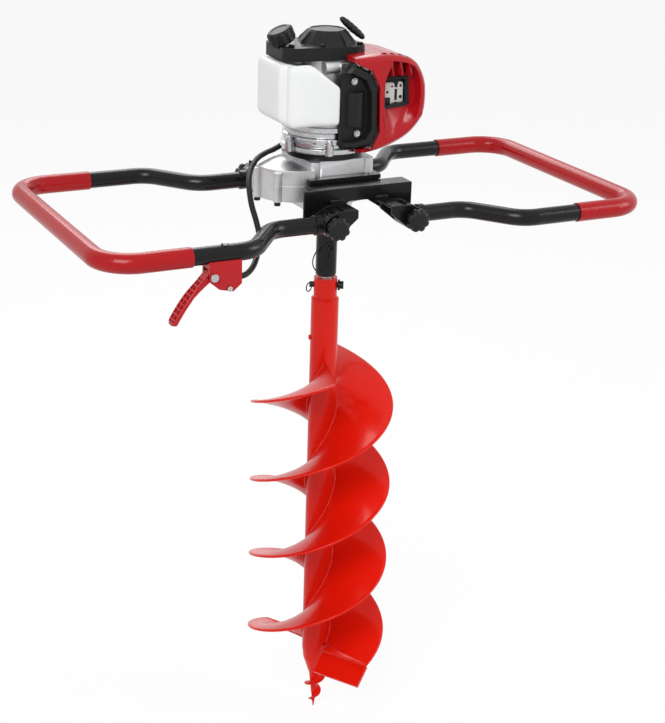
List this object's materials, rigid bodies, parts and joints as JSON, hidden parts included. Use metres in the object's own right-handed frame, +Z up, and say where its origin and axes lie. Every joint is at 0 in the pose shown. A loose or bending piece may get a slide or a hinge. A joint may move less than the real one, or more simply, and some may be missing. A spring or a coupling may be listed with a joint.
{
  "type": "earth auger",
  "caption": "Hand-held earth auger: an engine over a reduction gearbox turns a spiral drill bit, carried by two folding loop handles with red grips.",
  "frame": {"origin": "tip of the pilot screw, on the drive axis", "axes": "+Z up along the drive axis, +X to the handle that has no throttle, -Y to the side with the muffler window"},
  "size_m": [0.779, 0.3985, 1.0328],
  "materials": {
    "red_paint": "gloss",
    "red_grip": "satin",
    "red_plastic": "gloss",
    "black_paint": "semi-gloss",
    "black_plastic": "textured",
    "cast_alloy": "as cast",
    "steel": "machined",
    "tank_white": "satin",
    "sheath": "matte",
    "rope": "woven",
    "bulb": "translucent"
  },
  "bodies": {
    "frame": {"frame_front_beam": "black_paint", "frame_rear_beam": "black_paint", "base_plate": "black_paint", "clamp_brackets": "black_paint", "pivot_bolts": "steel", "frame_bolts": "steel", "gear_case": "cast_alloy", "gear_case_cover": "cast_alloy", "case_screws": "steel", "gearbox_bearings": "steel", "output_seal": "black_plastic", "adapter_ring": "black_paint", "clutch_housing": "cast_alloy", "crankcase": "cast_alloy", "crank_bearings": "steel", "engine_cylinder": "cast_alloy", "spark_plug": "steel", "muffler": "steel", "engine_shroud": "black_plastic", "engine_cover": "red_plastic", "engine_screws": "steel", "fuel_tank": "tank_white", "recoil_housing": "black_plastic", "carburettor": "cast_alloy", "air_cleaner": "black_plastic", "throttle_cable": "sheath"},
    "auger": {"output_shaft": "steel", "output_gear": "steel", "drive_sleeve": "black_paint", "bit_tube": "red_paint", "bit_flight_a": "red_paint", "bit_flight_b": "red_paint", "cutter_blades": "red_paint", "pilot_screw": "red_paint", "pin_lanyard": "steel"},
    "locking_pin": {"locking_pin": "steel"},
    "layshaft": {"layshaft": "steel", "layshaft_gear": "steel"},
    "clutch_drum": {"clutch_drum": "steel", "input_pinion": "steel"},
    "crank": {"crankshaft": "steel", "flywheel": "steel", "clutch_shoes": "steel"},
    "left_handle": {"left_handle_tube": "black_paint", "left_grip": "red_grip", "throttle_housing": "red_plastic", "throttle_screws": "steel"},
    "throttle_lever": {"throttle_lever": "red_plastic"},
    "right_handle": {"right_handle_tube": "black_paint", "right_grip": "red_grip"},
    "knob_left_front": {"knob_left_front": "black_plastic"},
    "knob_left_rear": {"knob_left_rear": "black_plastic"},
    "knob_right_front": {"knob_right_front": "black_plastic"},
    "knob_right_rear": {"knob_right_rear": "black_plastic"},
    "fuel_cap": {"fuel_cap": "black_plastic"},
    "starter_grip": {"starter_grip": "black_plastic", "starter_rope": "rope"},
    "starter_reel": {"starter_reel": "black_plastic"},
    "choke_lever": {"choke_lever": "black_plastic"},
    "primer_bulb": {"primer_bulb": "bulb"}
  },
  "joints": [
    {"name": "auger_spin", "type": "hinge", "parent": "frame", "child": "auger", "pos_m": [0, 0, 0.76], "axis": [0, 0, 1], "continuous": true},
    {"name": "layshaft_spin", "type": "hinge", "parent": "frame", "child": "layshaft", "pos_m": [-0.0525, 0, 0.82], "axis": [0, 0, 1], "continuous": true},
    {"name": "clutch_drum_spin", "type": "hinge", "parent": "frame", "child": "clutch_drum", "pos_m": [-0.00813, 0, 0.85], "axis": [0, 0, 1], "continuous": true},
    {"name": "crank_spin", "type": "hinge", "parent": "frame", "child": "crank", "pos_m": [-0.00813, 0, 0.94], "axis": [0, 0, 1], "continuous": true},
    {"name": "left_handle_fold", "type": "hinge", "parent": "frame", "child": "left_handle", "pos_m": [-0.057, 0, 0.7925], "axis": [0, 1, 0], "range_deg": [0, 75], "deforming": ["throttle_cable"]},
    {"name": "right_handle_fold", "type": "hinge", "parent": "frame", "child": "right_handle", "pos_m": [0.057, 0, 0.7925], "axis": [0, -1, 0], "range_deg": [0, 75]},
    {"name": "knob_left_front_turn", "type": "hinge", "parent": "frame", "child": "knob_left_front", "pos_m": [-0.057, -0.142, 0.7925], "axis": [0, -1, 0], "range_deg": [0, 360]},
    {"name": "knob_left_rear_turn", "type": "hinge", "parent": "frame", "child": "knob_left_rear", "pos_m": [-0.057, 0.142, 0.7925], "axis": [0, 1, 0], "range_deg": [0, 360]},
    {"name": "knob_right_front_turn", "type": "hinge", "parent": "frame", "child": "knob_right_front", "pos_m": [0.057, -0.142, 0.7925], "axis": [0, -1, 0], "range_deg": [0, 360]},
    {"name": "knob_right_rear_turn", "type": "hinge", "parent": "frame", "child": "knob_right_rear", "pos_m": [0.057, 0.142, 0.7925], "axis": [0, 1, 0], "range_deg": [0, 360]},
    {"name": "throttle_squeeze", "type": "hinge", "parent": "left_handle", "child": "throttle_lever", "pos_m": [-0.247, -0.186, 0.7675], "axis": [0, 1, 0], "range_deg": [0, 34], "stiffness_Nm_per_rad": 0.6, "springref_deg": -28.65},
    {"name": "locking_pin_pull", "type": "slide", "parent": "auger", "child": "locking_pin", "axis": [0.891, -0.454, 0], "range_m": [0, 0.05]},
    {"name": "fuel_cap_turn", "type": "hinge", "parent": "frame", "child": "fuel_cap", "pos_m": [-0.06012, -0.004, 0.9785], "axis": [-0.4226, 0, 0.9063], "range_deg": [0, 270]},
    {"name": "starter_pull", "type": "slide", "parent": "frame", "child": "starter_grip", "axis": [0.604, -0.2198, 0.766], "range_m": [0, 0.3], "stiffness_N_per_m": 40, "springref_m": -0.2, "deforming": ["starter_rope"]},
    {"name": "starter_reel_turn", "type": "hinge", "parent": "frame", "child": "starter_reel", "pos_m": [-0.00813, 0, 0.9895], "axis": [0, 0, 1], "range_deg": [0, 800]},
    {"name": "choke_turn", "type": "hinge", "parent": "frame", "child": "choke_lever", "pos_m": [0.07187, 0.07905, 0.9755], "axis": [0, 0, 1], "range_deg": [0, 70]},
    {"name": "primer_press", "type": "slide", "parent": "frame", "child": "primer_bulb", "axis": [0, 0, 1], "range_m": [0, 0.005], "stiffness_N_per_m": 300, "deforming": ["primer_bulb"]}
  ],
  "couplings": [
    {"joint": "layshaft_spin", "follows": "auger_spin", "ratio": -6},
    {"joint": "clutch_drum_spin", "follows": "auger_spin", "ratio": 29.5},
    {"joint": "starter_reel_turn", "follows": "starter_pull", "rad_per_m": 45.455}
  ]
}
